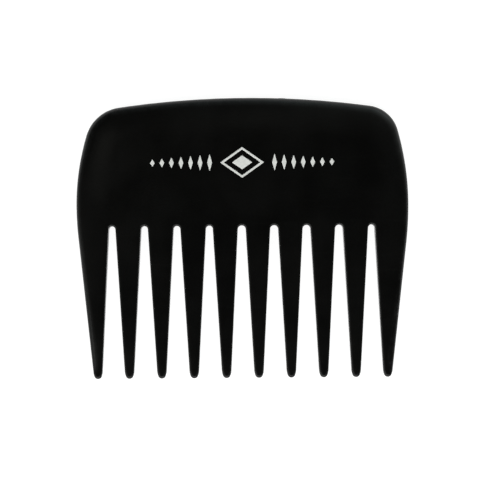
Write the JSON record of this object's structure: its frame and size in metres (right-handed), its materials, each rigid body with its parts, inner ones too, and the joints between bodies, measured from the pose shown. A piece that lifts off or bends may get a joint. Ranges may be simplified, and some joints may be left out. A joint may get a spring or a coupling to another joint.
{
  "type": "beard comb",
  "caption": "Wide-tooth pocket beard comb: arched spine, rounded shoulders and long tapered teeth in black plastic, with a light printed ornament on the front.",
  "frame": {"origin": "under the middle of the comb's box, on the flat back of the spine, with the comb lying on its back", "axes": "+X along the comb's width, +Y from the tooth tips towards the spine, +Z out of the printed front face"},
  "size_m": [0.082, 0.0692, 0.0044],
  "materials": {
    "black_plastic": "satin",
    "white_ink": "matte"
  },
  "bodies": {
    "root": {"comb_body": "black_plastic", "print_centre_frame": "white_ink", "print_centre_lozenge": "white_ink", "print_left_ticks": "white_ink", "print_right_ticks": "white_ink"}
  },
  "joints": []
}
